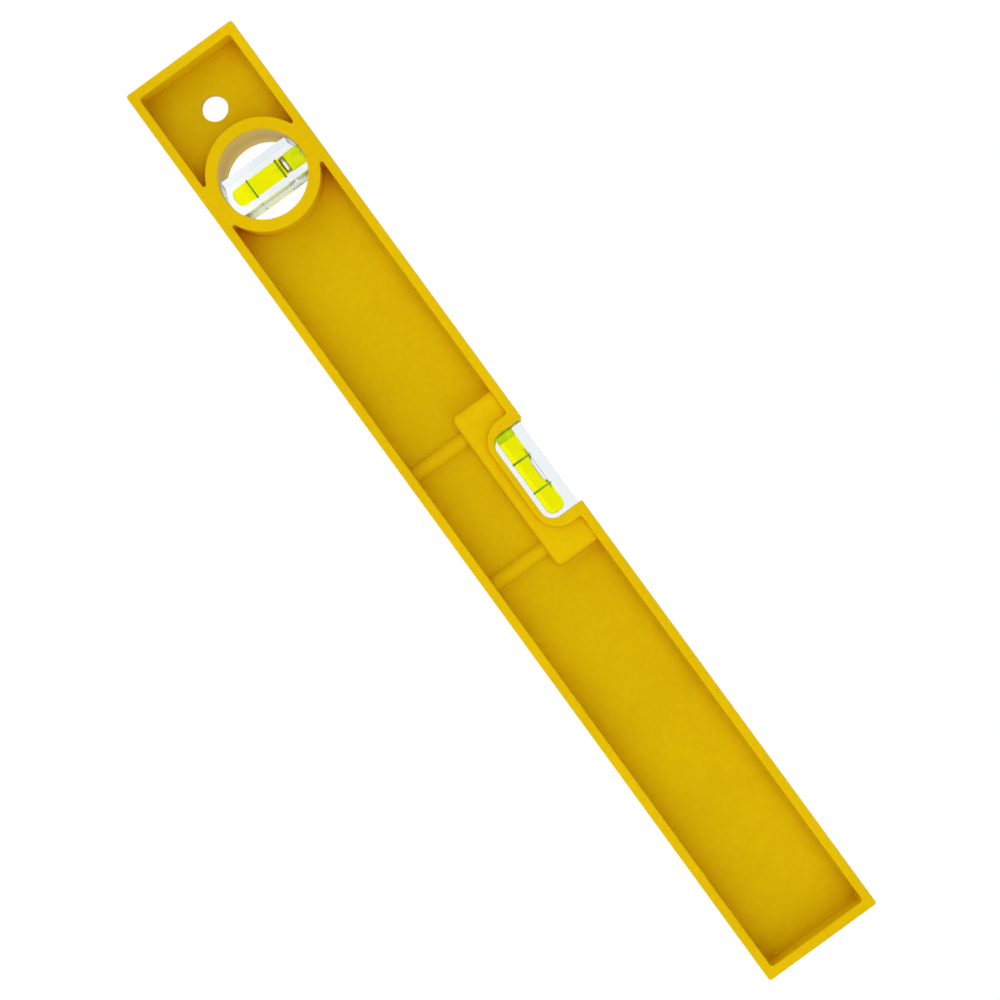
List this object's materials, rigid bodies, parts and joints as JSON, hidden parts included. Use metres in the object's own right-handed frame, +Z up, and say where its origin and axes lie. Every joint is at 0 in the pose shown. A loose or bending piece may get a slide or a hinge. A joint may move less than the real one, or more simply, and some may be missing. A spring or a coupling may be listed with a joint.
{
  "type": "spirit level",
  "caption": "Short one-piece moulded plastic spirit level with a horizontal vial in a top notch, a plumb vial in a round window and a hang hole.",
  "frame": {"origin": "middle of the bottom measuring face", "axes": "+X along the level away from the plumb vial, -Y out of the face that is read from the front, +Z up towards the notched rail"},
  "size_m": [0.4, 0.024, 0.048],
  "materials": {
    "body_plastic": "moulded ABS, satin with a faint grain on the web",
    "acrylic": "clear polished acrylic",
    "horizontal_plug": "green plastic, wetted by the liquid",
    "plumb_plug": "yellow-green plastic, wetted by the liquid",
    "liquid": "clear fluorescent yellow-green liquid",
    "bubble": "air bubble",
    "line": "dark green-black ink ring",
    "adhesive": "milky translucent adhesive"
  },
  "bodies": {
    "level": {"body": "body_plastic", "horizontal_vial_block": "acrylic", "plumb_vial_block": "acrylic", "horizontal_vial_plug": "horizontal_plug", "plumb_vial_plug": "plumb_plug", "horizontal_vial_liquid": "liquid", "plumb_vial_liquid": "liquid", "horizontal_vial_line_left": "line", "horizontal_vial_line_right": "line", "plumb_vial_line_upper": "line", "plumb_vial_line_lower": "line", "horizontal_vial_adhesive_left": "adhesive", "horizontal_vial_adhesive_right": "adhesive", "plumb_vial_adhesive_upper": "adhesive", "plumb_vial_adhesive_lower": "adhesive"},
    "horizontal_bubble": {"horizontal_vial_bubble": "bubble"},
    "plumb_bubble": {"plumb_vial_bubble": "bubble"}
  },
  "joints": [
    {"name": "horizontal_bubble_slide", "type": "slide", "parent": "level", "child": "horizontal_bubble", "axis": [1, 0, 0], "range_m": [-0.009, 0.009], "stiffness_N_per_m": 0.002, "deforming": ["horizontal_vial_liquid"]},
    {"name": "plumb_bubble_slide", "type": "slide", "parent": "level", "child": "plumb_bubble", "axis": [0, 0, 1], "range_m": [-0.02, 0], "stiffness_N_per_m": 0.0054, "springref_m": 0.5, "deforming": ["plumb_vial_liquid"]}
  ]
}
